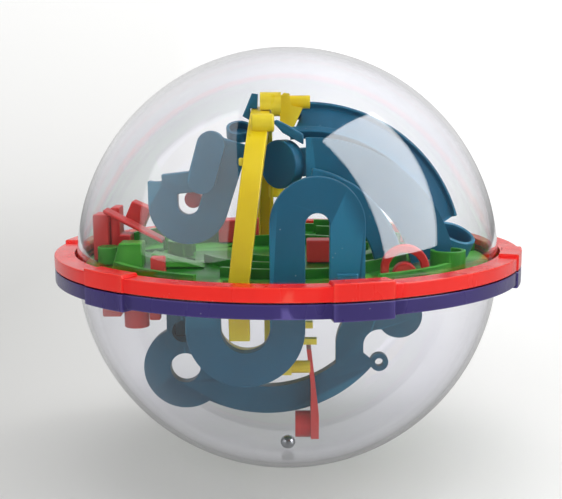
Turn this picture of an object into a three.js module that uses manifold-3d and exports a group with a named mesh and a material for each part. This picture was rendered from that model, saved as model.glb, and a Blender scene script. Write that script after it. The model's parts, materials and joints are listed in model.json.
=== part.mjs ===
// Clear maze ball: a steel ball runs along coloured tracks inside two clear half shells.
// Units are millimetres. The origin is the centre of the ball, +Z points up through its pole,
// -Y is the front, and the equator ring is horizontal.
import * as THREE from 'three';
import { mergeVertices } from 'three/addons/utils/BufferGeometryUtils.js';
import Module from 'manifold-3d';

const wasm = await Module();
wasm.setup();

// ---------------------------------------------------------------- driving dimensions
const RING_R = 62.5;            // outside radius at the grip blocks
const RING_BODY_R = 62.15;      // outside radius between the blocks
const RING_T = 3.6;             // height of each ring half
const RING_BORE_R = 56.85;      // bore that the shell stands in
const SEAM = 0.15;              // half of the gap between the upper and the lower half
const BLOCK_RISE = 0.75;        // height of a grip block above the ring
const BLOCK_HALF = 6.5;         // half of the angle that a grip block spans
const BLOCK_FIRST = -74;        // angle of the first block about +Z, from +X
const BLOCK_COUNT = 6;
const SHELL_R = 56.4;           // outside radius of the clear shells
const SHELL_WALL = 1.2;
const FLANGE_R = 59.1;          // shell rim gripped between the ring halves
const FLANGE_T = 1.3;
const PLAY = 0.3;               // gap between pieces that touch

const MARBLE_R = 2.1;           // steel ball
const MARBLE_PATH_R = SHELL_R - SHELL_WALL - MARBLE_R - 0.4;

const TRACK_FLOOR = 1.2;        // thickness of a track's flat side
const TRACK_WALL = 1.0;         // thickness of a track's edge walls
const TRACK_DEPTH = 3.6;        // whole depth of a track

const DECK_R = 54.3;            // green deck on the equator
const DECK_TOP = 0.6;
const DECK_T = 1.8;
const ON_DECK = DECK_TOP + PLAY;
const UNDER_DECK = DECK_TOP - DECK_T - PLAY;

const ARC_STEP = 10;            // degrees per step on a round stretch
const BLUE = 0x104468;
const GREEN = 0x3f9a2a;
const RED = 0xc02018;
const YELLOW = 0xdac814;

// ---------------------------------------------------------------- helpers
const rad = THREE.MathUtils.degToRad;
const deg = THREE.MathUtils.radToDeg;
const root = new THREE.Group();

// Add one named piece with its own plain material.
function add(name, geometry, color, roughness = 0.35, metalness = 0) {
  const mesh = new THREE.Mesh(geometry, new THREE.MeshStandardMaterial({ color, roughness, metalness }));
  mesh.name = name;
  root.add(mesh);
}

// Turn a closed geometry into a manifold solid.
function solid(geometry) {
  const bare = geometry.clone();
  bare.deleteAttribute('normal');
  bare.deleteAttribute('uv');
  const merged = mergeVertices(bare, 1e-4);
  return new wasm.Manifold(new wasm.Mesh({
    numProp: 3,
    vertProperties: new Float32Array(merged.attributes.position.array),
    triVerts: new Uint32Array(merged.index.array),
  }));
}

// Turn a manifold solid back into a geometry.
function geometryOf(body) {
  const mesh = body.getMesh();
  const geometry = new THREE.BufferGeometry();
  geometry.setAttribute('position', new THREE.BufferAttribute(mesh.vertProperties, 3));
  geometry.setIndex(new THREE.BufferAttribute(mesh.triVerts, 1));
  geometry.computeVertexNormals();
  return geometry;
}

const join = (...parts) => geometryOf(parts.map(solid).reduce((a, b) => a.add(b)));
const cut = (base, ...tools) => geometryOf(tools.map(solid).reduce((a, b) => a.subtract(b), solid(base)));

// A box given by its lowest and highest x, y and z.
function box(x0, x1, y0, y1, z0, z1) {
  const geometry = new THREE.BoxGeometry(x1 - x0, y1 - y0, z1 - z0);
  return geometry.translate((x0 + x1) / 2, (y0 + y1) / 2, (z0 + z1) / 2);
}

// A cylinder along x, y or z, centred at a point.
function rod(axis, r, length, x, y, z, sides = 20) {
  const geometry = new THREE.CylinderGeometry(r, r, length, sides);
  if (axis === 'x') geometry.rotateZ(Math.PI / 2);
  if (axis === 'z') geometry.rotateX(Math.PI / 2);
  return geometry.translate(x, y, z);
}

// A solid of revolution about Z; points are [radius, height].
function turned(points, sides) {
  const profile = points.map(([r, z]) => new THREE.Vector2(r, z));
  return new THREE.LatheGeometry(profile, sides).rotateX(Math.PI / 2);
}

// Points on an arc from one angle to another, in degrees.
function arc(cx, cy, r, from, to, step = ARC_STEP) {
  const count = Math.max(2, Math.ceil(Math.abs(to - from) / step));
  return Array.from({ length: count + 1 }, (_, i) => {
    const a = rad(from + (to - from) * i / count);
    return [cx + r * Math.cos(a), cy + r * Math.sin(a)];
  });
}

// A whole circle as an outline.
const circle = (cx, cy, r, step = ARC_STEP) => arc(cx, cy, r, 0, 360 - step, step);

const vectors = (points) => points.map(([x, y]) => new THREE.Vector2(x, y));

// A flat plate parallel to the XZ plane; its front face is at y = front.
function plate(outline, front, thickness) {
  const shape = new THREE.Shape(vectors(outline));
  const geometry = new THREE.ExtrudeGeometry(shape, { depth: thickness, bevelEnabled: false });
  return geometry.rotateX(Math.PI / 2).translate(0, front + thickness, 0);
}

// Outline of a ribbon around a centre line; both ends can be lengthened.
function ribbon(line, half, lengthen = 0) {
  const left = [];
  const right = [];
  const last = line.length - 1;
  line.forEach(([x, z], i) => {
    const [ax, az] = line[Math.max(i - 1, 0)];
    const [bx, bz] = line[Math.min(i + 1, last)];
    const span = Math.hypot(bx - ax, bz - az);
    const [ux, uz] = [(bx - ax) / span, (bz - az) / span];
    const ends = { 0: -lengthen, [last]: lengthen };
    const slide = ends[i] ?? 0;
    left.push([x - uz * half + ux * slide, z + ux * half + uz * slide]);
    right.unshift([x + uz * half + ux * slide, z - ux * half + uz * slide]);
  });
  return [...left, ...right];
}

// A track plate parallel to XZ: flat in front, with edge walls standing towards +Y.
// Strips are { line, half }; rounds are { x, z, r, hole } and join the strips.
function track(front, strips, rounds = []) {
  const inner = TRACK_WALL;
  const back = front + TRACK_FLOOR;
  const bodies = [
    ...strips.map(({ line, half }) => plate(ribbon(line, half), front, TRACK_DEPTH)),
    ...rounds.map(({ x, z, r }) => plate(circle(x, z, r), front, TRACK_DEPTH)),
  ];
  const grooves = [
    ...strips.map(({ line, half }) => plate(ribbon(line, half - inner, inner), back, TRACK_DEPTH)),
    ...rounds.map(({ x, z, r }) => plate(circle(x, z, r - inner), back, TRACK_DEPTH)),
  ];
  const rims = rounds.filter(({ hole }) => hole);
  let body = bodies.map(solid).reduce((a, b) => a.add(b));
  body = grooves.map(solid).reduce((a, b) => a.subtract(b), body);
  for (const { x, z, hole } of rims) {
    body = body.add(solid(plate(circle(x, z, hole + inner), front, TRACK_DEPTH)));
    body = body.subtract(solid(plate(circle(x, z, hole), front - 1, TRACK_DEPTH + 2)));
  }
  return geometryOf(body);
}

// A U-shaped section that opens towards +y, with the outer side of its floor at y = 0.
// Its left wall can be wider, as a lip.
function trough(width, depth, floor = TRACK_FLOOR, wall = TRACK_WALL, lip = wall) {
  const w = width / 2;
  return new THREE.Shape(vectors([
    [-w, 0], [w, 0], [w, depth], [w - wall, depth], [w - wall, floor],
    [lip - w, floor], [lip - w, depth], [-w, depth],
  ]));
}

// Bend a straight extrusion along frames { at, side, up }, one for each step.
function sweep(section, frames) {
  const steps = frames.length - 1;
  const geometry = new THREE.ExtrudeGeometry(section, { depth: steps, steps, bevelEnabled: false });
  const position = geometry.attributes.position;
  const point = new THREE.Vector3();
  for (let i = 0; i < position.count; i += 1) {
    const { at, side, up } = frames[Math.round(position.getZ(i))];
    point.copy(at).addScaledVector(side, position.getX(i)).addScaledVector(up, position.getY(i));
    position.setXYZ(i, point.x, point.y, point.z);
  }
  return geometry;
}

// A sector of a flat ring about Z.
function sector(r0, r1, from, to, z0, z1, step = 5) {
  const outline = [...arc(0, 0, r1, from, to, step), ...arc(0, 0, r0, to, from, step)];
  const shape = new THREE.Shape(vectors(outline));
  return new THREE.ExtrudeGeometry(shape, { depth: z1 - z0, bevelEnabled: false }).translate(0, 0, z0);
}

// ---------------------------------------------------------------- clear shells
// The upper half shell with its rim; it is a solid of revolution.
function shell() {
  const inner = SHELL_R - SHELL_WALL;
  const rimTop = SEAM + FLANGE_T;
  const outside = arc(0, 0, SHELL_R, deg(Math.asin(rimTop / SHELL_R)), 90);
  const inside = arc(0, 0, inner, 90, deg(Math.asin(SEAM / inner)));
  outside.at(-1)[0] = 0;
  inside[0][0] = 0;
  return turned([[FLANGE_R, SEAM], [FLANGE_R, rimTop], ...outside, ...inside, [FLANGE_R, SEAM]], 36);
}

add('upper_shell', shell(), 0xf4f6fa, 0.05);
add('lower_shell', shell().rotateX(Math.PI), 0xf4f6fa, 0.05);

// ---------------------------------------------------------------- equator ring
// One half of the ring: a recess grips the shell's rim, and six blocks stand out for the fingers.
function ringHalf() {
  const rim = FLANGE_R + PLAY;
  const recess = SEAM + FLANGE_T + PLAY;
  const overlap = 0.5;
  let body = solid(turned([
    [rim, SEAM], [RING_BODY_R, SEAM], [RING_BODY_R, RING_T], [RING_BORE_R, RING_T],
    [RING_BORE_R, recess], [rim, recess], [rim, SEAM],
  ], 72));
  for (let i = 0; i < BLOCK_COUNT; i += 1) {
    const from = BLOCK_FIRST + i * 360 / BLOCK_COUNT - BLOCK_HALF;
    const to = from + 2 * BLOCK_HALF;
    const cap = sector(RING_BORE_R + overlap, RING_R, from, to, RING_T - overlap, RING_T + BLOCK_RISE);
    const skirt = sector(RING_BODY_R - overlap, RING_R, from, to, SEAM, RING_T);
    body = body.add(solid(cap)).add(solid(skirt));
  }
  return geometryOf(body);
}

// The lower half is the same moulding turned over about the line through its first block.
const turnOver = new THREE.Matrix4().makeRotationAxis(
  new THREE.Vector3(Math.cos(rad(BLOCK_FIRST)), Math.sin(rad(BLOCK_FIRST)), 0),
  Math.PI,
);
add('upper_ring', ringHalf(), 0xf03020, 0.3);
add('lower_ring', ringHalf().applyMatrix4(turnOver), 0x3c3478, 0.35);

// ---------------------------------------------------------------- front track
// An S at the front: an arch above the deck and a U-bend below it.
const FRONT = -40.4;
const ARCH = { x: 7.1, z: 14.3, r: 7.05, half: 4.2 };
const BEND = { x: -10, z: -10.4, r: 10 + ARCH.x - ARCH.r };

function frontTrack() {
  const rightLeg = ARCH.x + ARCH.r;
  const line = [
    [rightLeg, UNDER_DECK + PLAY],
    ...arc(ARCH.x, ARCH.z, ARCH.r, 0, 180),
    ...arc(BEND.x, BEND.z, BEND.r, 0, -180),
    [BEND.x - BEND.r, UNDER_DECK - 1],
  ];
  const foot = box(rightLeg - 2.4, rightLeg + 2.4, FRONT - 0.5, FRONT + 1, UNDER_DECK + PLAY, 2.8);
  return join(track(FRONT, [{ line, half: ARCH.half }]), foot);
}
add('front_track', frontTrack(), BLUE);

// ---------------------------------------------------------------- lower track
// A loop, a long bottom arc that ends in an eyelet, and an arm that rises and curls to the right.
const LOWER = -12;
const LOOP = { x: -27.3, z: -27.4, r: 11.1, hole: 4 };
const NECK = { x: LOOP.x - 0.4, half: 4.3, feedR: 2.9, feedZ: -17.4 };
const SWING = { x: -5.4, z: -3.6, r: 32.8, half: 3.7 };
const EYELET = { x: 24.4, z: -26.1, r: 2.45, hole: 1.1, thickness: 2.2 };
const ARM = { x: 24.4, z: -21.4, r: 7.9, half: 3.65 };
const LANDING = { x: 29.6, z: -13.4, r: 6 };

function lowerTrack() {
  const neck = [[NECK.x, LOOP.z + LOOP.r - 4], [NECK.x, UNDER_DECK - 1]];
  const swing = arc(SWING.x, SWING.z, SWING.r, 226, 322, 6);
  const arm = [[ARM.x - ARM.r, ARM.z - 6], ...arc(ARM.x, ARM.z, ARM.r, 180, 90), [LANDING.x, LANDING.z]];
  const riser = [[LANDING.x + 2, LANDING.z + 1], [LANDING.x + 4, UNDER_DECK - 1]];
  const strips = [
    { line: neck, half: NECK.half },
    { line: swing, half: SWING.half },
    { line: arm, half: ARM.half },
    { line: riser, half: ARM.half },
  ];
  const body = track(LOWER, strips, [LOOP, LANDING]);
  const eye = plate(circle(EYELET.x, EYELET.z, EYELET.r, 15), LOWER, EYELET.thickness);
  const eyeHole = plate(circle(EYELET.x, EYELET.z, EYELET.hole, 30), LOWER - 1, TRACK_DEPTH + 2);
  const feed = rod('y', NECK.feedR, 2 * TRACK_DEPTH, NECK.x, LOWER, NECK.feedZ);
  return cut(join(body, eye), eyeHole, feed);
}
add('lower_track', lowerTrack(), BLUE);

// Open-topped box behind the feed hole, where the ball drops in from the deck.
function dropBox() {
  const wall = TRACK_WALL;
  const front = LOWER + TRACK_DEPTH + PLAY;
  const [x0, x1, y1, z0] = [NECK.x - NECK.half, NECK.x + NECK.half, front + 7, -22];
  const outer = box(x0, x1, front, y1, z0, UNDER_DECK);
  return cut(outer, box(x0 + wall, x1 - wall, front - wall, y1 - wall, z0 + wall, 0));
}
add('drop_box', dropBox(), BLUE);

// ---------------------------------------------------------------- upper right tracks
// A round cup with a flat bottom; its mouth faces +Z before it is placed.
function cup(r, height, wall = TRACK_WALL) {
  return turned([[0, 0], [r, 0], [r, height], [r - wall, height], [r - wall, wall], [0, wall]], 24);
}

// Cup at the end of the two tracks, tilted to the right and to the front.
const END_CUP = { x: 42.4, y: -9.6, z: 4.2, r: 5.5, height: 5, right: 18, front: 20 };

function placeEndCup(geometry) {
  const tilted = geometry.rotateY(rad(END_CUP.right)).rotateX(rad(END_CUP.front));
  return tilted.translate(END_CUP.x, END_CUP.y, END_CUP.z);
}
add('end_cup', placeEndCup(cup(END_CUP.r, END_CUP.height)), BLUE);

// The space that the cup needs, used to clear its neighbours.
const cupSpaceHeight = END_CUP.height + 2 * PLAY;
const cupSpace = placeEndCup(rod('z', END_CUP.r + PLAY, cupSpaceHeight, 0, 0, END_CUP.height / 2, 24));

// Banked chute on an arc in the XZ plane, from the hub down to the end cup.
const CHUTE = { x: 5, z: -0.6, r: 37, y: -5.6, width: 13.8, lip: 2.4, bank: 32, from: 97, to: 17 };
const HUB_Y = -6.5;             // middle of the hub's plate

// The space that the hub's plate needs behind the chute's start.
const hubSpace = plate([[-2.2, 35], [2, 35], [4.7, 40.4], [4.7, 46], [-2.2, 46]], HUB_Y - 2.7, 5.4);

function upperChute() {
  const bank = rad(CHUTE.bank);
  const back = new THREE.Vector3(0, 1, 0);
  const frames = arc(0, 0, 1, CHUTE.from, CHUTE.to, 6).map(([c, s]) => {
    const outward = new THREE.Vector3(c, 0, s);
    return {
      at: outward.clone().multiplyScalar(CHUTE.r).add(new THREE.Vector3(CHUTE.x, CHUTE.y, CHUTE.z)),
      side: back.clone().multiplyScalar(Math.cos(bank)).addScaledVector(outward, Math.sin(bank)),
      up: outward.clone().multiplyScalar(Math.cos(bank)).addScaledVector(back, -Math.sin(bank)),
    };
  });
  const section = trough(CHUTE.width, 2.6, TRACK_FLOOR, TRACK_WALL, CHUTE.lip);
  return cut(sweep(section, frames), hubSpace, cupSpace);
}
add('upper_chute', upperChute(), BLUE);

// Lip that leads from the hub to the chute's near edge.
const lipOutline = [[-3.5, 37.3], [-2.5, 37.9], [0.2, 36.6], [4.3, 34.2], [4.3, 31.6], [-1, 34.6]];
add('chute_lip', plate(lipOutline, -15.6, 2.3), BLUE);

// Flat track under the chute's near edge.
const SIDE = { front: -16.9, x: 6, z: -4, r: 32, half: 5.5 };
const sideSheet = track(SIDE.front, [
  { line: arc(SIDE.x, SIDE.z, SIDE.r, 92, 12, 6), half: SIDE.half },
]);
add('side_track', cut(sideSheet, cupSpace), BLUE);

// Round dish at the start of that track, turned a little to the left.
const DISH = { x: -1.1, y: -12.6, z: 26.6, r: 6.2, turn: -42 };
const dish = track(-TRACK_DEPTH / 2, [], [{ x: 0, z: 0, r: DISH.r }]);
add('side_dish', dish.rotateZ(rad(DISH.turn)).translate(DISH.x, DISH.y, DISH.z), BLUE);

// Short slide that leads from behind the front arch down to the deck.
const SLIDE = { front: -24.4, x: 1.5, z: -1, r: 24.3, half: 3.5 };
add('lower_slide', track(SLIDE.front, [
  { line: arc(SLIDE.x, SLIDE.z, SLIDE.r, 80, 13, 7), half: SLIDE.half },
]), BLUE);

// ---------------------------------------------------------------- upper left tracks
const HOOK = { front: -14, x: -25.4, z: 16.4, r: 6.5, half: 3.8, end: 342, rise: 19 };

function hookTrack() {
  const bend = arc(HOOK.x, HOOK.z, HOOK.r, 180, HOOK.end);
  const [x, z] = bend.at(-1);
  const lean = rad(HOOK.end + 90);
  const line = [
    [HOOK.x - HOOK.r, HOOK.z + 6],
    ...bend,
    [x + HOOK.rise * Math.cos(lean), z + HOOK.rise * Math.sin(lean)],
  ];
  const bridge = [[HOOK.x - HOOK.r, HOOK.z + 5], [HOOK.x + 2.6, HOOK.z + 6]];
  return track(HOOK.front, [{ line, half: HOOK.half }, { line: bridge, half: 2.7 }]);
}
add('hook_track', hookTrack(), BLUE);

// Tilted tongue in front of the hook, with two round ends.
const TONGUE = { front: -20, half: 3.5, top: [-18.9, 31.8], bottom: [-21.4, 23.2] };
add('tongue_track', track(
  TONGUE.front,
  [{ line: [TONGUE.top, TONGUE.bottom], half: TONGUE.half }],
  [TONGUE.top, TONGUE.bottom].map(([x, z]) => ({ x, z, r: TONGUE.half })),
), BLUE);

// ---------------------------------------------------------------- yellow arch
// A narrow trough that stands over the deck, front to back, with its front foot leaning left.
const HOOP = { r: 41, x: -6.6, lean: 4.9, width: 5, depth: 3, from: -109.5, to: 93 };

function hoopSweep(width, depth, outside, from, to) {
  const count = Math.ceil((to - from) / 7.5);
  const frames = Array.from({ length: count + 1 }, (_, i) => {
    const a = rad(from + (to - from) * i / count);
    const outward = new THREE.Vector3(0, Math.sin(a), Math.cos(a));
    const lean = a < 0 ? HOOP.lean * (1 - Math.cos(Math.max(a, -Math.PI / 2))) : 0;
    return {
      at: outward.clone().multiplyScalar(HOOP.r + outside).add(new THREE.Vector3(HOOP.x - lean, 0, 0)),
      side: new THREE.Vector3(1, 0, 0),
      up: outward.clone().negate(),
    };
  });
  return sweep(outside ? rectangle(width, depth) : trough(width, depth, 1, 0.9), frames);
}

const rectangle = (width, depth) => new THREE.Shape(vectors([
  [-width / 2, 0], [width / 2, 0], [width / 2, depth], [-width / 2, depth],
]));

// The space that the arch needs, used to clear its neighbours.
const hoopSpace = hoopSweep(HOOP.width + 2 * PLAY, HOOP.depth + 2 * PLAY, PLAY, HOOP.from, HOOP.to);

function yellowArch() {
  const trunk = hoopSweep(HOOP.width, HOOP.depth, 0, HOOP.from, HOOP.to);
  const peg = rod('x', 2.3, 5.7, -5.9, -19.4, 37.2);
  const frontTab = box(-11.6, -9.9, -28.6, -26.6, 27.3, 29.2);
  const rearTab = box(-5.5, -0.9, 35.6, 38, 13.2, 17);
  return join(trunk, peg, frontTab, rearTab);
}
add('yellow_arch', yellowArch(), YELLOW);

// Hub on top of the arch: a pointed plate with a peg on each side.
function hub() {
  const outline = [[-1.7, 43.6], [-0.6, 44.5], [0.8, 44.3], [1.2, 41.2], [4.2, 40.6], [1.8, 35.6], [-1.7, 37.4]];
  const leftPeg = rod('x', 3.1, 5.4, -4.1, HUB_Y, 41.6);
  const rightPeg = rod('x', 1.7, 5.8, 3.2, HUB_Y, 42.1);
  return cut(join(plate(outline, HUB_Y - 2.4, 4.8), leftPeg, rightPeg), hoopSpace);
}
add('top_hub', hub(), YELLOW);

// Blue fin beside the hub and the tilted cup at the top of the hook.
const finOutline = [[-11.4, 38.6], [-9.6, 37.6], [-7.6, 40], [-7.4, 44.2], [-8.9, 44.4]];
add('top_fin', cut(plate(finOutline, HUB_Y - 1, 4), hoopSpace), BLUE);
const hookCup = cup(3.3, 2.6, 0.8).rotateX(rad(30)).translate(-12.2, -8.7, 33.6);
add('hook_cup', cut(hookCup, hoopSpace), BLUE);

// Post under the deck, with a round peg and a flat peg that show to the right of the front track.
function lowerPost() {
  return join(
    box(-5.8, 1, -26, -22.4, -19.5, UNDER_DECK),
    box(-3.8, 1, -26, -22.4, -25.7, -19),
    rod('x', 1.6, 5.6, 2.9, -24.2, -23.9),
    box(0.5, 7.4, -25.4, -23, -17.9, -16.4),
    box(0.5, 6.4, -25.4, -23, -13.7, -12.1),
  );
}
add('lower_post', lowerPost(), YELLOW);

// ---------------------------------------------------------------- green deck
const WALL_TOP = 4.9;           // top of the deck's rim wall

// Deck with slots for the tracks that pass through it, drop holes, and low guide walls.
function deck() {
  const base = DECK_TOP - DECK_T;
  const root0 = DECK_TOP - 0.4;
  let body = solid(turned([[0, base], [DECK_R, base], [DECK_R, DECK_TOP], [0, DECK_TOP]], 72));
  const walls = [
    [48.2, 49.6, -150, -116, 3.4],
    [48.2, 49.6, -64, -36, 3.4],
    [33.6, 35, -118, -62, 3],
    [48.2, 49.6, 8, 80, WALL_TOP],
    [48.2, 49.6, 104, 172, WALL_TOP],
    [52.4, 54, 10, 170, 3],
    [31, 32.4, -58, -12, 3.4],
    [36.6, 38, 30, 76, 4.4],
    [36.6, 38, 110, 160, 4.4],
    [22, 23.4, 200, 262, 2.8],
    [22, 23.4, 15, 130, 3.6],
    [12, 13.4, -150, -72, 2.8],
    [12, 13.4, -20, 60, 2.8],
  ];
  for (const [r0, r1, from, to, top] of walls) {
    body = body.add(solid(sector(r0, r1, from, to, root0, top, 8)));
  }
  const slots = [
    box(-15.4, 19.2, -43.6, -35.6, -5, 9),
    box(-9.9, -3.4, 34.5, 44.5, -5, 9),
  ];
  const dropHoles = [[NECK.x, -4.6], [20, 14], [-14, 20], [33, 12], [8, -24], [-38, 12]];
  for (const slot of slots) body = body.subtract(solid(slot));
  for (const [x, y] of dropHoles) body = body.subtract(solid(rod('z', 3.1, 20, x, y, 0)));
  return geometryOf(body);
}
add('green_deck', deck(), GREEN, 0.4);

// Block with a slanting left face.
const blockOutline = [[-44.4, ON_DECK], [-36.6, ON_DECK], [-36.6, 7.5], [-42.4, 7.5]];
add('green_block', plate(blockOutline, -21, 6.5), GREEN, 0.4);

// Catcher walls bent round a landing place, open on one side.
function catcher(x, y, r, from, to, top) {
  const wall = [...arc(0, 0, r, from, to, 15), ...arc(0, 0, r - 1.1, to, from, 15)];
  const geometry = new THREE.ExtrudeGeometry(new THREE.Shape(vectors(wall)), {
    depth: top - ON_DECK,
    bevelEnabled: false,
  });
  return geometry.translate(x, y, ON_DECK);
}
add('green_catcher_right', catcher(40.4, -21.8, 4.4, -70, 200, 5.6), GREEN, 0.4);
add('green_catcher_left', catcher(-28, 4, 5, 60, 300, 4.8), GREEN, 0.4);

// Ramps: wedges that rise along X.
function wedge(x0, x1, y0, depth, z1) {
  return plate([[x0, ON_DECK], [x1, ON_DECK], [x1, z1]], y0, depth);
}
add('green_ramp_left', wedge(-21, -34.6, -19, 6.5, 4.6), GREEN, 0.4);
add('green_ramp_right', wedge(14, 27, -9.5, 6.5, 4.2), GREEN, 0.4);
add('green_post', rod('z', 2.9, 4.6, -46.6, -11.6, ON_DECK + 2.3), GREEN, 0.4);

// ---------------------------------------------------------------- red pieces on the deck
add('red_wall_outer', box(-51.6, -47.4, -7, 0.5, ON_DECK, 13.2), RED);
const innerWall = box(-47.1, -44.7, -5, 2.5, ON_DECK, 14.8);
add('red_wall_inner', join(innerWall, box(-46, -42, -5, 2.5, ON_DECK, 7.4)), RED);
const redCube = new THREE.BoxGeometry(5.6, 6, 6.4).rotateY(rad(24));
add('red_cube', redCube.translate(-40.4, 1, 12.2), RED);
add('red_ramp', plate([[-47.2, 15.4], [-32.2, 7.4], [-32.2, 6.4], [-47.2, 14.3]], -14.6, 6.4), RED);
add('red_start_block', box(-33.2, -29.7, -31.6, -28.4, ON_DECK, 5.6), RED);
add('red_gate', box(5.1, 11.5, -12, -6, ON_DECK, 6.7), RED);

// Upright arch with a half-round peg inside it.
const GATE_ARCH = { x: 28.7, z: 2.4, r: 4.9, half: 1, front: -31 };

function redArch() {
  const { x, z, r, half, front } = GATE_ARCH;
  const line = [[x + r, ON_DECK], ...arc(x, z, r, 0, 180, 12), [x - r, ON_DECK]];
  return plate(ribbon(line, half), front, 2);
}
add('red_arch', redArch(), RED);
add('red_arch_peg', plate(arc(GATE_ARCH.x, ON_DECK, 3, 0, 180, 15), GATE_ARCH.front - 0.6, 3.2), RED);

// Blocks at the back of the deck.
add('red_back_block_left', box(-20.2, -15, 25, 30, ON_DECK, 7.6), RED);
add('red_back_block_right', box(-12.4, -8.4, 27, 31, ON_DECK, 7.8), RED);
add('red_back_gate', box(31, 37.4, 24, 26, ON_DECK, 6.2), RED);

// Peg seen through the hook.
add('hook_peg', rod('y', 2.3, 4.6, -24.4, HOOK.front + TRACK_DEPTH + PLAY + 2.3, 17.4), RED);

// ---------------------------------------------------------------- red pieces under the deck
// Thin bar that widens downwards and ends in a drum.
function lowerBar() {
  const bar = plate([[4.9, -20.4], [6.1, -20.4], [8.1, -38], [8.1, -44.6], [6, -44.6], [6, -30]], -20.4, 7.6);
  return join(bar, rod('x', 3.5, 5.9, 4.9, -16.6, -41.6));
}
add('red_lower_bar', lowerBar(), RED);
const PEG_TIP = -15.8;
add('red_lower_peg', rod('z', 3.3, UNDER_DECK - PEG_TIP, -39.7, -12.6, (UNDER_DECK + PEG_TIP) / 2), RED);
add('red_lower_ledge', box(-48.2, -43.3, -15.6, -9, -12.6, UNDER_DECK), RED);
add('red_lower_stub', box(-35.4, -32.6, -20, -17, -12.6, UNDER_DECK), RED);

// ---------------------------------------------------------------- rear tracks
// Tracks on the far side, which lie behind the front ones.
const REAR_BEND = { front: 17, x: -11.8, z: -21.5, r: 12.2, half: 3.8 };
add('rear_lower_track', track(REAR_BEND.front, [{
  line: [
    [REAR_BEND.x + REAR_BEND.r, UNDER_DECK - 1],
    ...arc(REAR_BEND.x, REAR_BEND.z, REAR_BEND.r, 0, -180),
    [REAR_BEND.x - REAR_BEND.r, UNDER_DECK - 1],
  ],
  half: REAR_BEND.half,
}]), YELLOW);

const REAR_ARC = { front: 14, x: 6.6, z: -8.6, r: 34, half: 4 };
add('rear_upper_track', track(REAR_ARC.front, [{
  line: arc(REAR_ARC.x, REAR_ARC.z, REAR_ARC.r, 95, 24, 7),
  half: REAR_ARC.half,
}]), BLUE);

// ---------------------------------------------------------------- steel ball
add('steel_ball', new THREE.SphereGeometry(MARBLE_R, 20, 12).translate(0, 0, -MARBLE_PATH_R), 0xb8babd, 0.15, 1);

export default root;
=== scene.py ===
"""Looks of the clear maze ball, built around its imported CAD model.

Shapes are given in millimetres and become metres when a mesh is made. The shells and rings are built in
place, the tracks and small pieces are centred on the box of the CAD node that they stand for, and the
remaining pieces are softened copies of their CAD nodes.
"""
import json
import math

import bmesh
import bpy
from mathutils import Matrix, Vector


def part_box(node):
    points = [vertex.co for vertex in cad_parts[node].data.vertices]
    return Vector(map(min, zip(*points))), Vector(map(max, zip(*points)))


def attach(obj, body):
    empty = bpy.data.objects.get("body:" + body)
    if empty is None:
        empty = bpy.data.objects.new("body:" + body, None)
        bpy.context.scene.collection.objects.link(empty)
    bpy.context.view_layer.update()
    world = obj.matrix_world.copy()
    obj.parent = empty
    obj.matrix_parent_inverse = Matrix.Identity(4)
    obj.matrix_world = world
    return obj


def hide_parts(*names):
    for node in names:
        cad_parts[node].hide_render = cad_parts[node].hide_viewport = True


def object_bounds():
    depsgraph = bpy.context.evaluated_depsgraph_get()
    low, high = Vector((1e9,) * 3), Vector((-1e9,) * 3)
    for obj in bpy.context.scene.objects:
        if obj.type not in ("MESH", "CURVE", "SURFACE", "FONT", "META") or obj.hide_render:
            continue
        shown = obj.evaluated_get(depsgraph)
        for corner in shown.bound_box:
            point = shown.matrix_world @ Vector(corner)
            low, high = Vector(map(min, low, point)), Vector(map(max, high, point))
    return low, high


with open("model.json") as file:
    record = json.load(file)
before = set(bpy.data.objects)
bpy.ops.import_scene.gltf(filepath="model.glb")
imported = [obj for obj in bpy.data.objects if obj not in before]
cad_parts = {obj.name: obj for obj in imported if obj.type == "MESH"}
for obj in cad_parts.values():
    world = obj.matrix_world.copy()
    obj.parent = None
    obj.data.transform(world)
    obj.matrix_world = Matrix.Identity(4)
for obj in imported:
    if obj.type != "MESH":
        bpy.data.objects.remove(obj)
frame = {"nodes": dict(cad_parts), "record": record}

CAD_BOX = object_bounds()
MM = 0.001
FINE = 3                # degrees per step on a round stretch
LATHE_STEPS = 128
MERGE = 0.012           # distance below which two points become one
FLAT_ANGLE = 0.6        # degrees by which two faces may differ and still be one flat face
SOFT_EDGE = 0.4         # rounding of a moulded edge
SOFT_ANGLE = 33         # degrees from which an edge is rounded
SOFT_STEPS = 3
CORNER_STEPS = 3        # steps in each rounded corner of an outline
CORNER_SHARE = 0.42     # part of a side that one rounded corner may take
PLAY = 0.3              # gap between two neighbours
TRACK_FLOOR = 1.2
TRACK_WALL = 1.0
TRACK_DEPTH = 3.6
ROOM_FILL = 0.25        # light that comes from every side of the room
ROOM_REFLECTION = 0.08  # what the dark front of the room shows in a reflection
BACK_REFLECTION = 0.8   # what its pale back shows in a reflection
FLOOR_REFLECTION = 0.4  # share of the floor's brightness that a reflection shows
FLOOR_GAP = 0.05        # gap between the lower shell and the floor
PANEL_DISTANCE = 0.9    # metres from the origin to a reflected panel
SCENE = bpy.context.scene


# ------------------------------------------------------------------ mesh helpers
def box_mm(node):
    """Lowest and highest corner of a CAD node, in millimetres."""
    low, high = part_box(node)
    return low / MM, high / MM


def make_object(name, verts, faces):
    """A linked mesh object from millimetre coordinates, with its faces turned outwards."""
    mesh = bpy.data.meshes.new(name)
    mesh.from_pydata([Vector(v) * MM for v in verts], [], faces)
    bm = bmesh.new()
    bm.from_mesh(mesh)
    bmesh.ops.recalc_face_normals(bm, faces=bm.faces)
    bm.to_mesh(mesh)
    bm.free()
    obj = bpy.data.objects.new(name, mesh)
    SCENE.collection.objects.link(obj)
    return obj


def bake(obj):
    """Replace an object's mesh by the one that its modifiers make."""
    bpy.context.view_layer.update()
    graph = bpy.context.evaluated_depsgraph_get()
    mesh = bpy.data.meshes.new_from_object(obj.evaluated_get(graph))
    obj.modifiers.clear()
    obj.data = mesh


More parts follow.
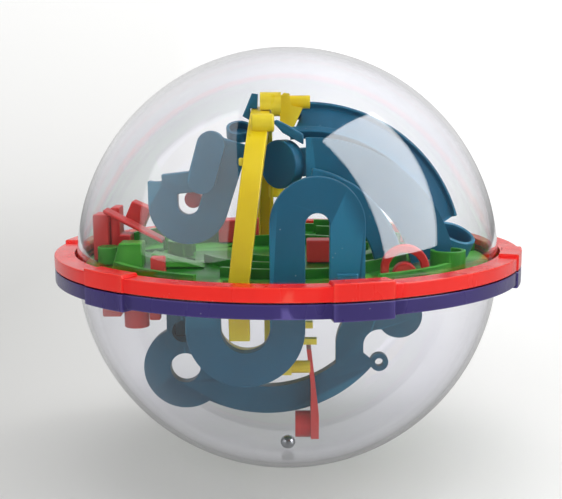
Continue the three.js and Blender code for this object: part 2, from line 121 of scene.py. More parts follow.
def boolean(base, tools, operation):
    """Join tools to base, or cut them from it; the tools are used up."""
    for tool in tools:
        step = base.modifiers.new(operation.lower(), "BOOLEAN")
        step.object = tool
        step.operation = operation
        step.solver = "EXACT"
    bake(base)
    for tool in tools:
        bpy.data.objects.remove(tool)
    return base


def join(first, *others):
    """One solid from several."""
    return boolean(first, others, "UNION")


def cut(base, *tools):
    """The base without the tools."""
    return boolean(base, tools, "DIFFERENCE")


def clean(obj):
    """Weld close points and dissolve the edges that lie inside a flat face."""
    bm = bmesh.new()
    bm.from_mesh(obj.data)
    bmesh.ops.remove_doubles(bm, verts=bm.verts, dist=MERGE * MM)
    bmesh.ops.dissolve_limit(bm, angle_limit=math.radians(FLAT_ANGLE), verts=bm.verts, edges=bm.edges)
    bmesh.ops.recalc_face_normals(bm, faces=bm.faces)
    bm.to_mesh(obj.data)
    bm.free()
    return obj


def shade(obj, sharp=48):
    """Smooth shading that keeps sharp edges sharp and flat faces flat."""
    obj.data.polygons.foreach_set("use_smooth", [True] * len(obj.data.polygons))
    obj.data.set_sharp_from_angle(angle=math.radians(sharp))
    weighted = obj.modifiers.new("weighted_normals", "WEIGHTED_NORMAL")
    weighted.keep_sharp = True
    return obj


def soften(obj, width=SOFT_EDGE):
    """Round the edges as a mould does."""
    clean(obj)
    bevel = obj.modifiers.new("bevel", "BEVEL")
    bevel.width = width * MM
    bevel.segments = SOFT_STEPS
    bevel.limit_method = "ANGLE"
    bevel.angle_limit = math.radians(SOFT_ANGLE)
    bake(obj)
    return shade(obj)


# ------------------------------------------------------------------ shape helpers
def arc(cx, cz, r, start, end, step=FINE):
    """Points on an arc, with angles in degrees."""
    count = max(2, math.ceil(abs(end - start) / step))
    angles = [math.radians(start + (end - start) * i / count) for i in range(count + 1)]
    return [(cx + r * math.cos(a), cz + r * math.sin(a)) for a in angles]


def circle(cx, cz, r, step=6):
    """A closed round outline."""
    return arc(cx, cz, r, 0, 360 - step, step)


def rounded(points, radius):
    """A closed outline with its corners rounded; a corner keeps clear of its neighbours."""
    out = []
    for i, point in enumerate(points):
        here = Vector(point)
        back = Vector(points[i - 1]) - here
        ahead = Vector(points[(i + 1) % len(points)]) - here
        reach = min(radius, CORNER_SHARE * back.length, CORNER_SHARE * ahead.length)
        start = here + back.normalized() * reach
        end = here + ahead.normalized() * reach
        for k in range(CORNER_STEPS + 1):
            t = k / CORNER_STEPS
            out.append(tuple(start * (1 - t) ** 2 + here * 2 * t * (1 - t) + end * t ** 2))
    return out


def ribbon(line, half, lengthen=0):
    """Outline of a band around a centre line; both ends can be lengthened."""
    left, right = [], []
    last = len(line) - 1
    for i, (x, z) in enumerate(line):
        (ax, az), (bx, bz) = line[max(i - 1, 0)], line[min(i + 1, last)]
        span = math.hypot(bx - ax, bz - az)
        ux, uz = (bx - ax) / span, (bz - az) / span
        slide = {0: -lengthen, last: lengthen}.get(i, 0)
        left.append((x - uz * half + ux * slide, z + ux * half + uz * slide))
        right.append((x + uz * half + ux * slide, z - ux * half + uz * slide))
    return left + right[::-1]


def plate(name, outline, front, thickness):
    """A flat plate parallel to XZ, with its front face at y = front."""
    count = len(outline)
    verts = [(x, front, z) for x, z in outline] + [(x, front + thickness, z) for x, z in outline]
    sides = [(i, (i + 1) % count, (i + 1) % count + count, i + count) for i in range(count)]
    front_face = tuple(range(count))
    back_face = tuple(range(2 * count - 1, count - 1, -1))
    return make_object(name, verts, [front_face, back_face, *sides])


def block(name, low, high):
    """A plain box, to be joined, cut or softened."""
    (x0, y0, z0), (x1, y1, z1) = low, high
    return plate(name, [(x0, z0), (x1, z0), (x1, z1), (x0, z1)], y0, y1 - y0)


def lathe(name, profile, steps=LATHE_STEPS):
    """A solid of revolution about Z; the profile is a closed outline of (radius, height)."""
    verts, rings = [], []
    for r, z in profile:
        if r < 1e-6:
            rings.append([len(verts)])
            verts.append((0, 0, z))
            continue
        rings.append(list(range(len(verts), len(verts) + steps)))
        angles = [math.tau * i / steps for i in range(steps)]
        verts += [(r * math.cos(a), r * math.sin(a), z) for a in angles]
    faces = []
    for ring, following in zip(rings, rings[1:] + rings[:1]):
        for i in range(steps):
            j = (i + 1) % steps
            corners = [ring[i % len(ring)], ring[j % len(ring)]]
            corners += [following[j % len(following)], following[i % len(following)]]
            corners = list(dict.fromkeys(corners))
            if len(corners) > 2:
                faces.append(corners)
    return make_object(name, verts, faces)


def bands(sections, count, closed=False):
    """Faces between sections that follow each other, each with the same count of points."""
    faces = []
    for i in range(sections if closed else sections - 1):
        a, b = i * count, (i + 1) % sections * count
        faces += [(a + k, a + (k + 1) % count, b + (k + 1) % count, b + k) for k in range(count)]
    return faces


def sweep(name, section, frames):
    """A closed section carried along frames of (place, side, up), with flat ends."""
    count = len(section)
    verts = [at + side * u + up * v for at, side, up in frames for u, v in section]
    first_end = tuple(range(count))
    last_end = tuple(range(len(verts) - 1, len(verts) - 1 - count, -1))
    return make_object(name, verts, [*bands(len(frames), count), first_end, last_end])


def rod(name, axis, r, length, centre, edge=0.3):
    """A cylinder with rounded edges, along x or z."""
    half = length / 2
    bulge = edge * 0.3
    profile = [(0, -half), (r - edge, -half), (r - bulge, -half + bulge), (r, -half + edge)]
    profile += [(pr, -pz) for pr, pz in reversed(profile)]
    obj = lathe(name, profile, 48)
    turns = {"x": Matrix.Rotation(math.pi / 2, 4, "Y"), "z": Matrix()}
    obj.data.transform(Matrix.Translation(Vector(centre) * MM) @ turns[axis])
    return obj


def trough(width, depth, floor=TRACK_FLOOR, wall=TRACK_WALL, radius=0.3, lip=None):
    """A rounded U section that opens upwards, its underside at height 0; its left wall may be a wide lip."""
    w = width / 2
    lip = lip or wall
    outline = [(-w, 0), (w, 0), (w, depth), (w - wall, depth)]
    outline += [(w - wall, floor), (lip - w, floor), (lip - w, depth), (-w, depth)]
    return rounded(outline, radius)


def track(name, front, strips, rounds=()):
    """A track plate: flat in front, with edge walls towards +Y. Strips are (line, half width)."""
    back = front + TRACK_FLOOR
    bodies = [plate(name, ribbon(line, half), front, TRACK_DEPTH) for line, half in strips]
    bodies += [plate(name, circle(x, z, r), front, TRACK_DEPTH) for x, z, r in rounds]
    grooves = [
        plate(name, ribbon(line, half - TRACK_WALL, TRACK_WALL), back, TRACK_DEPTH)
        for line, half in strips
    ]
    grooves += [plate(name, circle(x, z, r - TRACK_WALL), back, TRACK_DEPTH) for x, z, r in rounds]
    body = join(*bodies) if len(bodies) > 1 else bodies[0]
    return cut(body, *grooves)


# ------------------------------------------------------------------ materials
def linear(*srgb):
    """A linear colour from 0-255 sRGB values."""
    parts = [c / 255 for c in srgb]
    return tuple(c / 12.92 if c <= 0.04045 else ((c + 0.055) / 1.055) ** 2.4 for c in parts) + (1,)


def new_material(name):
    """A material with its node tree, its Principled node and its object coordinates."""
    material = bpy.data.materials.new(name)
    material.use_nodes = True
    tree = material.node_tree
    shader = tree.nodes["Principled BSDF"]
    place = tree.nodes.new("ShaderNodeTexCoord").outputs["Object"]
    return material, tree, shader, place


def noise(tree, place, scale, detail=2, stretch=None):
    """Noise with its scale in patterns per metre; stretch scales the coordinates first."""
    if stretch:
        mapping = tree.nodes.new("ShaderNodeMapping")
        mapping.inputs["Scale"].default_value = stretch
        tree.links.new(place, mapping.inputs["Vector"])
        place = mapping.outputs["Vector"]
    node = tree.nodes.new("ShaderNodeTexNoise")
    node.inputs["Scale"].default_value = scale
    node.inputs["Detail"].default_value = detail
    tree.links.new(place, node.inputs["Vector"])
    return node.outputs["Fac"]


def spread(tree, value, low, high, out_low, out_high):
    """Map a value from one range to another, clamped."""
    node = tree.nodes.new("ShaderNodeMapRange")
    for socket, number in zip(node.inputs[1:5], (low, high, out_low, out_high)):
        socket.default_value = number
    tree.links.new(value, node.inputs["Value"])
    return node.outputs["Result"]


def blend(tree, factor, first, second):
    """Mix two colours, or a colour and a socket."""
    node = tree.nodes.new("ShaderNodeMix")
    node.data_type = "RGBA"
    for socket, colour in ((node.inputs["A"], first), (node.inputs["B"], second)):
        if isinstance(colour, tuple):
            socket.default_value = colour
        else:
            tree.links.new(colour, socket)
    tree.links.new(factor, node.inputs["Factor"])
    return node.outputs["Result"]


def add_bump(tree, shader, layers):
    """Chain bump layers of (height socket, strength, distance in millimetres)."""
    normal = None
    for height, strength, distance in layers:
        bump = tree.nodes.new("ShaderNodeBump")
        bump.inputs["Strength"].default_value = strength
        bump.inputs["Distance"].default_value = distance * MM
        tree.links.new(height, bump.inputs["Height"])
        if normal:
            tree.links.new(normal, bump.inputs["Normal"])
        normal = bump.outputs["Normal"]
    tree.links.new(normal, shader.inputs["Normal"])


def specks(tree, place, scale, size):
    """1 on round dust specks and 0 elsewhere, with one speck to a cell; size is in cells."""
    node = tree.nodes.new("ShaderNodeTexVoronoi")
    node.inputs["Scale"].default_value = scale
    tree.links.new(place, node.inputs["Vector"])
    return spread(tree, node.outputs["Distance"], size * 0.6, size, 1, 0)


def moulded_plastic(name, base, edge_highlight, deep, roughness, dust_strength=0.25):
    """Injection-moulded plastic: slow colour drift, flow lines, pale edges painted as a highlight and a
    little dust.
    """
    material, tree, shader, place = new_material(name)
    drift = spread(tree, noise(tree, place, 55, 3), 0.32, 0.68, 0, 1)
    colour = blend(tree, drift, linear(*deep), linear(*base))
    # Painted highlight: edges that stand out, found by pointiness, are lightened towards the highlight
    # colour.
    pointiness = tree.nodes.new("ShaderNodeNewGeometry").outputs["Pointiness"]
    edge = spread(tree, pointiness, 0.515, 0.57, 0, 0.55)
    colour = blend(tree, edge, colour, linear(*edge_highlight))
    dust = spread(tree, specks(tree, place, 260, 0.05), 0, 1, 0, dust_strength)
    colour = blend(tree, dust, colour, linear(236, 238, 236))
    tree.links.new(colour, shader.inputs["Base Color"])
    flow = noise(tree, place, 90, 4, (1, 1, 0.25))
    uneven = spread(tree, flow, 0.3, 0.7, roughness - 0.07, roughness + 0.09)
    tree.links.new(uneven, shader.inputs["Roughness"])
    shader.inputs["IOR"].default_value = 1.49
    shader.inputs["Specular IOR Level"].default_value = 0.38
    pores = noise(tree, place, 2600, 2)
    add_bump(tree, shader, [(flow, 0.22, 0.05), (pores, 0.16, 0.02)])
    return material


def clear_plastic():
    """Clear plastic: nearly smooth, with faint flow waves and a few scuffs that dull it."""
    material, tree, shader, place = new_material("clear_plastic")
    tint = spread(tree, noise(tree, place, 30, 2), 0.3, 0.7, 0, 1)
    colour = blend(tree, tint, linear(247, 247, 252), linear(252, 252, 254))
    tree.links.new(colour, shader.inputs["Base Color"])
    scuffs = spread(tree, noise(tree, place, 700, 6, (1, 0.2, 1)), 0.6, 0.85, 0.01, 0.05)
    tree.links.new(scuffs, shader.inputs["Roughness"])
    shader.inputs["Transmission Weight"].default_value = 1
    shader.inputs["IOR"].default_value = 1.5
    waves = noise(tree, place, 36, 1)
    add_bump(tree, shader, [(waves, 0.03, 0.2)])
    return material


def polished_steel():
    """Bearing steel with fine rolling scratches."""
    material, tree, shader, place = new_material("polished_steel")
    scratch = noise(tree, place, 1500, 5, (0.15, 1, 1))
    tone = spread(tree, scratch, 0.3, 0.7, 0, 1)
    colour = blend(tree, tone, linear(150, 152, 155), linear(196, 198, 202))
    tree.links.new(colour, shader.inputs["Base Color"])
    tree.links.new(spread(tree, scratch, 0.3, 0.75, 0.08, 0.22), shader.inputs["Roughness"])
    shader.inputs["Metallic"].default_value = 1
    add_bump(tree, shader, [(scratch, 0.12, 0.01)])
    return material


# Each plastic: its colour, the painted highlight on its edges and its deeper patches as 0-255 sRGB values,
# then its roughness, and for the polished ring the strength of its dust.
PLASTICS = {
    "red_ring_plastic": ((250, 18, 6), (255, 96, 76), (236, 12, 4), 0.24, 0.15),
    "violet_plastic": ((44, 28, 102), (118, 106, 182), (38, 24, 92), 0.27, 0.15),
    "blue_plastic": ((1, 82, 112), (46, 140, 174), (1, 70, 97), 0.36),
    "green_plastic": ((20, 126, 14), (104, 200, 76), (12, 102, 8), 0.34),
    "red_plastic": ((204, 14, 14), (238, 84, 76), (178, 8, 8), 0.34),
    "yellow_plastic": ((232, 204, 2), (252, 236, 76), (214, 180, 0), 0.32),
}
SLOT_LOOKS = {name: moulded_plastic(name, *look) for name, look in PLASTICS.items()}
SLOT_LOOKS["clear_plastic"] = clear_plastic()
SLOT_LOOKS["polished_steel"] = polished_steel()
NODE_SLOTS = {row["node"]: row["material_slot"] for row in frame["record"]["subparts"]}


# ------------------------------------------------------------------ placing pieces
def place_in(obj, node):
    """Move a piece's mesh so that its box is centred on the CAD node's box."""
    low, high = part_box(node)
    corners = [Vector(c) for c in obj.bound_box]
    centre = (Vector(map(min, *corners)) + Vector(map(max, *corners))) / 2
    obj.data.transform(Matrix.Translation((low + high) / 2 - centre))


def finish_piece(obj, node, body="case", settle=True):
    """Give a piece its place, its material, its body and the node that it stands for."""
    obj.name = f"{node}_look"
    bpy.context.view_layer.update()
    if settle:
        place_in(obj, node)
    obj.data.materials.clear()
    obj.data.materials.append(SLOT_LOOKS[NODE_SLOTS[node]])
    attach(obj, body)
    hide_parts(node)


def refine(node):
    """A softened copy of a CAD node whose shape is already right."""
    source = frame["nodes"][node]
    obj = bpy.data.objects.new(node, source.data.copy())
    SCENE.collection.objects.link(obj)
    finish_piece(soften(obj), node, settle=False)


# ------------------------------------------------------------------ clear shells
def half_shell(node, up):
    """A half shell with its rim; up is 1 for the upper half and -1 for the lower. It casts no shadow."""
    low, high = box_mm(node)
    radius = max(high.z, -low.z)
    seam = min(abs(high.z), abs(low.z))
    flange, wall, rim, edge = high.x, 1.2, 1.3, 0.25
    outer_start = math.degrees(math.asin((seam + rim) / radius))
    inner_end = math.degrees(math.asin(seam / (radius - wall)))
    outer = arc(0, 0, radius, outer_start, 90, 2)[:-1] + [(0, radius)]
    inner = [(0, radius - wall)] + arc(0, 0, radius - wall, 90, inner_end, 2)[1:]
    profile = [(flange, seam + edge), (flange, seam + rim - edge), (flange - edge, seam + rim)]
    profile += outer + inner + [(flange - edge, seam)]
    obj = lathe(node, [(r, z * up) for r, z in profile])
    shade(obj, 40)
    finish_piece(obj, node, settle=False)
    obj.visible_shadow = False


half_shell("upper_shell", 1)
half_shell("lower_shell", -1)

# ------------------------------------------------------------------ equator ring
BLOCK_FIRST = -74       # middle of the first grip block, in degrees about +Z from +X
BLOCK_STEP = 60         # degrees from one block to the next
BLOCK_HALF = 6.5        # half of a block, in degrees
RAMP = 0.35             # degrees over which a block's end rises
RING_STEP = 1.5         # degrees per step between the blocks' ends
RING_EDGE = 0.42
RING_MERGE = 0.004      # points of the ring closer than this become one


def ring_angles():
    """Angles round the ring, with extra ones at each end of each block."""
    angles = {i * RING_STEP for i in range(int(360 / RING_STEP))}
    blocks = range(360 // BLOCK_STEP)
    ends = [BLOCK_FIRST + BLOCK_STEP * k + side * BLOCK_HALF for k in blocks for side in (-1, 1)]
    for end in ends:
        angles -= {a for a in angles if abs((a - end + 180) % 360 - 180) < RING_STEP * 0.6}
    for end in ends:
        angles |= {(end + shift) % 360 for shift in (-RAMP, 0, RAMP)}
    return sorted(angles)


def block_share(angle):
    """1 on a grip block, 0 between blocks; a block's ends lie on the ring's extra angles."""
    off = (angle - BLOCK_FIRST + BLOCK_STEP / 2) % BLOCK_STEP - BLOCK_STEP / 2
    return 1 if abs(off) < BLOCK_HALF + RAMP / 4 else 0


def half_ring(node, up):
    """One half of the ring: a rounded section with raised blocks for the fingers."""
    body_r = box_mm(node)[1].x
    block_r, bore, recess_r = 62.5, 56.85, 59.4
    thick, rise, seam, recess_z = 3.6, 0.75, 0.15, 1.75
    verts = []
    for angle in ring_angles():
        share = block_share(angle)
        outer = body_r + (block_r - body_r) * share
        top = thick + rise * share
        outline = [(outer, seam), (outer, top), (bore + 0.5, top), (bore + 0.45, thick), (bore, thick)]
        outline += [(bore, recess_z), (recess_r, recess_z), (recess_r, seam)]
        section = rounded(outline, RING_EDGE)
        turn = math.radians(angle)
        verts += [(r * math.cos(turn), r * math.sin(turn), z * up) for r, z in section]
    obj = make_object(node, verts, bands(len(ring_angles()), len(section), closed=True))
    bm = bmesh.new()
    bm.from_mesh(obj.data)
    bmesh.ops.remove_doubles(bm, verts=bm.verts, dist=RING_MERGE * MM)
    bm.to_mesh(obj.data)
    bm.free()
    finish_piece(shade(obj, 30), node, settle=False)


half_ring("upper_ring", 1)
half_ring("lower_ring", -1)

# ------------------------------------------------------------------ blue tracks
TRACK_END = -2.5        # height at which the tracks under the deck end


def front_track():
    """An S: an arch above the deck and a U-bend below it, with a foot on the deck."""
    front, half = -40.4, 4.2
    arch_x, arch_z, arch_r = 7.1, 14.3, 7.05
    bend_x, bend_z = -10, -10.4
    bend_r = arch_x - arch_r - bend_x
    foot_x, foot_z, foot_half = arch_x + arch_r, -1.2, 2.4
    line = [(foot_x, foot_z)]
    line += arc(arch_x, arch_z, arch_r, 0, 180)
    line += arc(bend_x, bend_z, bend_r, 0, -180)
    line += [(bend_x - bend_r, TRACK_END)]
    foot = block("foot", (foot_x - foot_half, front - 0.5, foot_z), (foot_x + foot_half, front + 1, 2.8))
    finish_piece(soften(join(track("front_track", front, [(line, half)]), foot)), "front_track")


def lower_track():
    """A loop with a hole, a feed hole, a long bottom arc with an eyelet, and a rising arm."""
    front = -12
    loop_x, loop_z, loop_r, hole_r = -27.3, -27.4, 11.1, 4
    neck_x, neck_half = loop_x - 0.4, 4.3
    feed_z, feed_r = -17.4, 2.9
    swing_half = 3.7
    arm_x, arm_z, arm_r, arm_half = 24.4, -21.4, 7.9, 3.65
    land_x, land_z, land_r = 29.6, -13.4, 6
    eye_x, eye_z, eye_r, eye_hole_r, eye_depth = 24.4, -26.1, 2.45, 1.1, 2.2
    neck = [(neck_x, loop_z + loop_r - 4), (neck_x, TRACK_END)]
    swing = arc(-5.4, -3.6, 32.8, 226, 322)
    arm = [(arm_x - arm_r, arm_z - 6), *arc(arm_x, arm_z, arm_r, 180, 90), (land_x, land_z)]
    riser = [(land_x + 2, land_z + 1), (land_x + 4, TRACK_END)]
    strips = [(neck, neck_half), (swing, swing_half), (arm, arm_half), (riser, arm_half)]
    body = track("lower_track", front, strips, [(loop_x, loop_z, loop_r), (land_x, land_z, land_r)])
    rim = plate("rim", circle(loop_x, loop_z, hole_r + TRACK_WALL), front, TRACK_DEPTH)
    eye = plate("eye", circle(eye_x, eye_z, eye_r, 12), front, eye_depth)
    body = join(body, rim, eye)
    through = front - 1, TRACK_DEPTH + 2
    bore = plate("bore", circle(loop_x, loop_z, hole_r), *through)
    eye_hole = plate("eye_hole", circle(eye_x, eye_z, eye_hole_r, 20), *through)
    feed = plate("feed", circle(neck_x, feed_z, feed_r, 10), *through)
    finish_piece(soften(cut(body, bore, eye_hole, feed)), "lower_track")


CUP_R, CUP_HEIGHT = 5.5, 5
CUP_BASE = Vector((42.4, -9.6, 4.2))
CUP_TILT_RIGHT, CUP_TILT_FRONT = 18, 20   # degrees


def tilt_cup(obj):
    """Tilt an upright cup at the origin to the right and to the front, and put it in its place."""
    to_right = Matrix.Rotation(math.radians(CUP_TILT_RIGHT), 4, "Y")
    to_front = Matrix.Rotation(math.radians(CUP_TILT_FRONT), 4, "X")
    obj.data.transform(Matrix.Translation(CUP_BASE * MM) @ to_front @ to_right)
    return obj


def end_cup():
    """A round cup with a rounded lip, which ends the chute."""
    wall, edge = TRACK_WALL, 0.3
    inner = CUP_R - wall
    profile = [(0, 0), (CUP_R - edge, 0), (CUP_R, edge)]
    profile += [(CUP_R, CUP_HEIGHT - edge), (CUP_R - wall / 2, CUP_HEIGHT), (inner, CUP_HEIGHT - edge)]
    profile += [(inner, wall + edge), (inner - edge, wall), (0, wall)]
    finish_piece(shade(tilt_cup(lathe("cup", profile, 64)), 40), "end_cup")


def cup_space():
    """The space that the end cup needs, used to clear its neighbours."""
    return tilt_cup(rod("cup_space", "z", CUP_R + PLAY, CUP_HEIGHT + 2 * PLAY, (0, 0, CUP_HEIGHT / 2)))


def upper_chute():
    """A banked trough on an arc in the XZ plane, with a lip along its near edge."""
    middle, r = Vector((5, -5.6, -0.6)), 37
    bank = math.radians(32)
    back = Vector((0, 1, 0))
    frames = []
    for c, s in arc(0, 0, 1, 97, 17, 2):
        outward = Vector((c, 0, s))
        side = back * math.cos(bank) + outward * math.sin(bank)
        up = outward * math.cos(bank) - back * math.sin(bank)
        frames.append((outward * r + middle, side, up))
    obj = sweep("upper_chute", trough(13.8, 2.6, radius=0.4, lip=2.4), frames)
    hub_outline = [(-2.2, 35), (2, 35), (4.7, 40.4), (4.7, 46), (-2.2, 46)]
    hub_y, hub_half = -6.5, 2.7
    hub_space = plate("hub_space", hub_outline, hub_y - hub_half, 2 * hub_half)
    finish_piece(shade(cut(obj, hub_space, cup_space()), 40), "upper_chute")


def side_track():
    """The flat track below the chute."""
    sheet = track("side_track", -16.9, [(arc(6, -4, 32, 92, 12), 5.5)])
    finish_piece(soften(cut(sheet, cup_space())), "side_track")


def side_dish():
    """A round dish at the start of the side track, turned to the left."""
    turn = math.radians(-42)
    dish = track("side_dish", -TRACK_DEPTH / 2, [], [(0, 0, 6.2)])
    dish.data.transform(Matrix.Rotation(turn, 4, "Z"))
    finish_piece(soften(dish), "side_dish")


def lower_slide():
    """A curved slide inside the side track's curve."""
    slide = track("lower_slide", -24.4, [(arc(1.5, -1, 24.3, 80, 13), 3.5)])
    finish_piece(soften(slide), "lower_slide")


def hook_track():
    """A J that hooks up to the left, with its long limb leaning to the right."""
    x, z, r, half = -25.4, 16.4, 6.5, 3.8
    end, limb, bridge_half = 342, 19, 2.7
    bend = arc(x, z, r, 180, end)
    lean = math.radians(end + 90)
    last_x, last_z = bend[-1]
    tip = (last_x + limb * math.cos(lean), last_z + limb * math.sin(lean))
    bridge = [(x - r, z + 5), (x + 2.6, z + 6)]
    obj = track("hook_track", -14, [([(x - r, z + 6), *bend, tip], half), (bridge, bridge_half)])
    finish_piece(soften(obj), "hook_track")


def tongue_track():
    """A tilted tongue with two round ends."""
    ends, half = [(-18.9, 31.8), (-21.4, 23.2)], 3.5
    obj = track("tongue_track", -20, [(ends, half)], [(x, z, half) for x, z in ends])
    finish_piece(soften(obj), "tongue_track")


def rear_upper_track():
    """A curved track behind the yellow arch."""
    rear = track("rear_upper_track", 14, [(arc(6.6, -8.6, 34, 95, 24), 4)])
    finish_piece(soften(rear), "rear_upper_track")


front_track()
lower_track()
upper_chute()
side_track()
side_dish()
lower_slide()
hook_track()
tongue_track()
rear_upper_track()
end_cup()


# ------------------------------------------------------------------ yellow tracks
def yellow_arch():
    """A narrow trough over the deck from front to back; its front leg leans to the left."""
    r, top_x, full_lean = 41, -6.6, 4.9
    across = Vector((1, 0, 0))
    frames = []
    for up, back in arc(0, 0, 1, -109.5, 93, 2.5):
        outward = Vector((0, back, up))
        lean = full_lean * (1 - max(up, 0)) if back < 0 else 0
        frames.append((outward * r + Vector((top_x - lean, 0, 0)), across, -outward))
    trunk = sweep("yellow_arch", trough(5, 3, floor=1, wall=0.9, radius=0.35), frames)
    peg = rod("peg", "x", 2.3, 5.7, (-5.9, -19.4, 37.2), 0.6)
    front_tab = soften(block("front_tab", (-11.6, -28.6, 27.3), (-9.9, -26.6, 29.2)))
    rear_tab = soften(block("rear_tab", (-5.5, 35.6, 13.2), (-0.9, 38, 17)))
    finish_piece(shade(join(trunk, peg, front_tab, rear_tab), 40), "yellow_arch")


def rear_lower_track():
    """A deep U under the deck, behind the other tracks."""
    x, z, r = -11.8, -21.5, 12.2
    line = [(x + r, TRACK_END), *arc(x, z, r, 0, -180), (x - r, TRACK_END)]
    finish_piece(soften(track("rear_lower_track", 17, [(line, 3.8)])), "rear_lower_track")


yellow_arch()
rear_lower_track()


# ------------------------------------------------------------------ green and red pieces
def catcher(node, r, start, end):
    """Catcher walls bent round a landing place, open on one side."""
    low, high = box_mm(node)
    wall, edge = 1.1, 0.22
    outline = arc(0, 0, r, start, end, 5) + arc(0, 0, r - wall, end, start, 5)
    obj = plate(node, outline, 0, high.z - low.z)
    obj.data.transform(Matrix.Rotation(math.pi / 2, 4, "X"))
    finish_piece(soften(obj, edge), node)


def red_arch():
    """An upright arch with a half-round peg inside it."""
    x, z, r, foot, half, thickness = 28.7, 2.4, 4.9, 0.9, 1, 2
    front, peg_r, peg_length = -31, 3, 3.2
    line = [(x + r, foot), *arc(x, z, r, 0, 180, 5), (x - r, foot)]
    finish_piece(soften(plate("red_arch", ribbon(line, half), front, thickness)), "red_arch")
    peg = plate("red_arch_peg", arc(x, foot, peg_r, 0, 180, 6), front - 0.6, peg_length)
    finish_piece(soften(peg), "red_arch_peg")


catcher("green_catcher_right", 4.4, -70, 200)
catcher("green_catcher_left", 5, 60, 300)
red_arch()


# ------------------------------------------------------------------ steel ball
def steel_ball():
    """A smooth ball from a subdivided icosahedron."""
    low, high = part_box("steel_ball")
    mesh = bpy.data.meshes.new("steel_ball")
    bm = bmesh.new()
    bmesh.ops.create_icosphere(bm, subdivisions=5, radius=(high.x - low.x) / 2)
    bm.to_mesh(mesh)
    bm.free()
    obj = bpy.data.objects.new("steel_ball", mesh)
    SCENE.collection.objects.link(obj)
    mesh.polygons.foreach_set("use_smooth", [True] * len(mesh.polygons))
    finish_piece(obj, "steel_ball", body="marble")


steel_ball()

# ------------------------------------------------------------------ the other nodes
for node in sorted(frame["nodes"]):
    if not frame["nodes"][node].hide_render:
        refine(node)


# ------------------------------------------------------------------ stage, lights and camera
def math_node(tree, operation, first, second):
    """A math node on two sockets, or on a socket and a number."""
    node = tree.nodes.new("ShaderNodeMath")
    node.operation = operation
    for socket, value in zip(node.inputs, (first, second)):
        if isinstance(value, (int, float)):
            socket.default_value = value
        else:
            tree.links.new(value, socket)
    return node.outputs["Value"]


def pale_paper(name):
    """Pale paper with a faint grain and painted shade that darkens it towards the left; it glows more where
    the lamps fade.
    """
    material, tree, shader, place = new_material(name)
    split = tree.nodes.new("ShaderNodeSeparateXYZ")
    tree.links.new(place, split.inputs["Vector"])
    axes = split.outputs
    grain = noise(tree, place, 3, 3)
    # Painted shade: the paper's colour darkens towards the left, away from the key light.
    shadow_side = spread(tree, axes["X"], -0.14, 0.07, 1, 0)
    colour = blend(tree, grain, linear(232, 232, 230), linear(238, 238, 237))
    colour = blend(tree, shadow_side, colour, linear(172, 172, 169))
    roughness = spread(tree, grain, 0.3, 0.7, 0.6, 0.7)
    tree.links.new(roughness, shader.inputs["Roughness"])
    shader.inputs["Specular IOR Level"].default_value = 0.1
    shader.inputs["Emission Color"].default_value = (1, 1, 1, 1)
    across = math_node(tree, "MULTIPLY", axes["X"], axes["X"])
    along = math_node(tree, "MULTIPLY", axes["Y"], axes["Y"])
    reach = math_node(tree, "POWER", math_node(tree, "ADD", across, along), 0.5)
    rise = spread(tree, reach, 0, 1.25, 0.12, 0.5)
    side = spread(tree, axes["X"], -0.5, 0.5, 1.42, 1.7)
    glow = math_node(tree, "MULTIPLY", rise, side)
    return material, tree, shader, colour, glow, axes["Y"]


def floor_paper():
    """The floor's paper, which is shown darker in reflections than when it is seen directly."""
    material, tree, shader, colour, glow, _ = pale_paper("floor_paper")
    rays = tree.nodes.new("ShaderNodeLightPath").outputs
    mirrored = math_node(tree, "GREATER_THAN", rays["Glossy Depth"], 0.5)
    dark = tuple(FLOOR_REFLECTION * part for part in linear(240, 240, 239)[:3]) + (1,)
    tree.links.new(blend(tree, mirrored, colour, dark), shader.inputs["Base Color"])
    tree.links.new(glow, shader.inputs["Emission Strength"])
    return material


def wall_paper():
    """The same paper, bright when seen directly; reflections show a dark front and a pale back."""
    material, tree, shader, colour, glow, depth = pale_paper("wall_paper")
    rays = tree.nodes.new("ShaderNodeLightPath").outputs
    scattered = math_node(tree, "GREATER_THAN", rays["Diffuse Depth"], 0.5)
    mirrored = math_node(tree, "GREATER_THAN", rays["Glossy Depth"], 0.5)
    indirect = math_node(tree, "MAXIMUM", scattered, mirrored)
    tree.links.new(blend(tree, indirect, colour, (0, 0, 0, 1)), shader.inputs["Base Color"])
    mirror_level = spread(tree, depth, 0.5, 1.1, ROOM_REFLECTION, BACK_REFLECTION)
    shown = math_node(tree, "MULTIPLY", mirror_level, mirrored)
    only_scattered = math_node(tree, "SUBTRACT", indirect, mirrored)
    filled = math_node(tree, "MULTIPLY", only_scattered, ROOM_FILL)
    seen_directly = math_node(tree, "SUBTRACT", 1, indirect)
    direct = math_node(tree, "MULTIPLY", glow, seen_directly)
    reflected = math_node(tree, "ADD", shown, filled)
    tree.links.new(math_node(tree, "ADD", reflected, direct), shader.inputs["Emission Strength"])
    return material


def revolve_open(name, line, steps=96):
    """An open surface of revolution about Z from a line of (radius, height)."""
    spokes = [math.tau * i / steps for i in range(steps)]
    verts = [(r * math.cos(a), r * math.sin(a), z) for r, z in line for a in spokes]
    obj = make_object(name, verts, bands(len(line), steps))
    clean(obj)
    obj.data.polygons.foreach_set("use_smooth", [True] * len(obj.data.polygons))
    return obj


def backdrop():
    """A round pale floor just under the object, inside a pale room without corners."""
    floor_z = CAD_BOX[0].z / MM - FLOOR_GAP
    flat, bend = 700, 700
    room = [(flat + r, floor_z + bend + z) for r, z in arc(0, 0, bend, -90, 0, 6)]
    room += arc(0, floor_z + bend, flat + bend, 0, 90, 6)[1:]
    floor = revolve_open("floor", [(0, floor_z), (flat, floor_z)])
    floor.data.materials.append(floor_paper())
    wall = revolve_open("wall", room)
    wall.data.materials.append(wall_paper())
    wall.visible_diffuse = False
    wall.visible_shadow = False


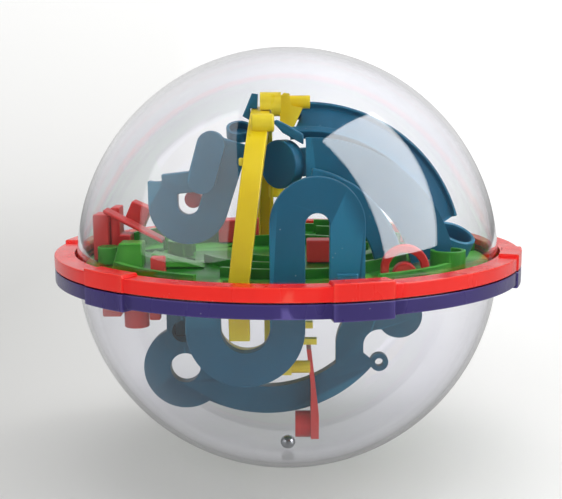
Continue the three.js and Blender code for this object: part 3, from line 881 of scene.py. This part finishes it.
def panel(name, directions, strength):
    """A glowing panel with its corners in the given directions; only shiny or clear surfaces show it."""
    corners = [Vector(d).normalized() for d in directions]
    middle = sum(corners, Vector()).normalized()
    verts = [c * (PANEL_DISTANCE / c.dot(middle)) / MM for c in corners]
    obj = make_object(name, verts, [tuple(range(len(verts)))])
    material, _, shader, _ = new_material(name)
    shader.inputs["Base Color"].default_value = (0, 0, 0, 1)
    shader.inputs["Emission Color"].default_value = (1, 1, 1, 1)
    shader.inputs["Emission Strength"].default_value = strength
    obj.data.materials.append(material)
    obj.visible_camera = False
    obj.visible_diffuse = False


def area_light(name, place, size, power):
    """A soft square light in metres and watts; it points at the object and leaves no reflection."""
    lamp = bpy.data.lights.new(name, "AREA")
    lamp.size = size
    lamp.energy = power
    obj = bpy.data.objects.new(name, lamp)
    obj.location = place
    obj.rotation_euler = (-Vector(place)).to_track_quat("-Z", "Y").to_euler()
    obj.visible_glossy = False
    obj.visible_transmission = False
    SCENE.collection.objects.link(obj)


def world_light():
    """Even fill light that stays dark in reflections, as the room behind a camera is."""
    world = bpy.data.worlds.new("studio")
    SCENE.world = world
    world.use_nodes = True
    tree = world.node_tree
    rays = tree.nodes.new("ShaderNodeLightPath").outputs
    fill, reflection = [(level, level, level, 1) for level in (ROOM_FILL, ROOM_REFLECTION)]
    colour = blend(tree, rays["Is Glossy Ray"], fill, reflection)
    tree.links.new(colour, tree.nodes["Background"].inputs["Color"])


def photo_camera():
    """The camera of the photograph: 300 mm away, nine degrees up, looking slightly down.

    Lengths are in metres and angles in radians.
    """
    distance, rise, tip, roll, yaw = 0.3, 0.15976, 0.04285, 0.0058, -0.0059
    pitch = rise + tip
    ahead = Vector((math.sin(yaw) * math.cos(pitch), math.cos(yaw) * math.cos(pitch), -math.sin(pitch)))
    right = Vector((math.cos(yaw), -math.sin(yaw), 0))
    up = right.cross(ahead)
    side = right * math.cos(roll) - up * math.sin(roll)
    top = right * math.sin(roll) + up * math.cos(roll)
    data = bpy.data.cameras.new("camera")
    data.sensor_width = 36
    data.lens = 70.35
    data.shift_y = 0.1005
    data.clip_start = 0.01
    obj = bpy.data.objects.new("camera", data)
    turn = Matrix((side, top, -ahead)).transposed().to_4x4()
    place = (0, -distance * math.cos(rise), distance * math.sin(rise))
    obj.matrix_world = Matrix.Translation(place) @ turn
    SCENE.collection.objects.link(obj)
    SCENE.camera = obj


# Directions from the origin to the corners of the two panels that the shell reflects.
KEY_CORNERS = [(0.26, -0.29, 0.92), (0.51, 0.25, 0.82), (0.98, -0.12, 0.1), (0.77, -0.63, 0.1)]
WINDOW_CORNERS = [
    (-0.3, 0.09, 0.95), (-0.38, -0.56, 0.74), (-0.5, -0.86, 0.11), (-0.98, -0.2, 0.02), (-0.8, 0.12, 0.58),
]
backdrop()
panel("key_panel", KEY_CORNERS, 5.5)
panel("window_panel", WINDOW_CORNERS, 1.4)
area_light("key_light", (0.75, 0.05, 0.9), 0.7, 8)
area_light("top_light", (0, -0.1, 1.3), 1.1, 8)
area_light("front_light", (-0.4, -1.1, 0.7), 0.8, 4.6)
area_light("low_light", (0.35, -1.15, 0.06), 0.5, 3)
world_light()
photo_camera()
SCENE.view_settings.view_transform = "Standard"
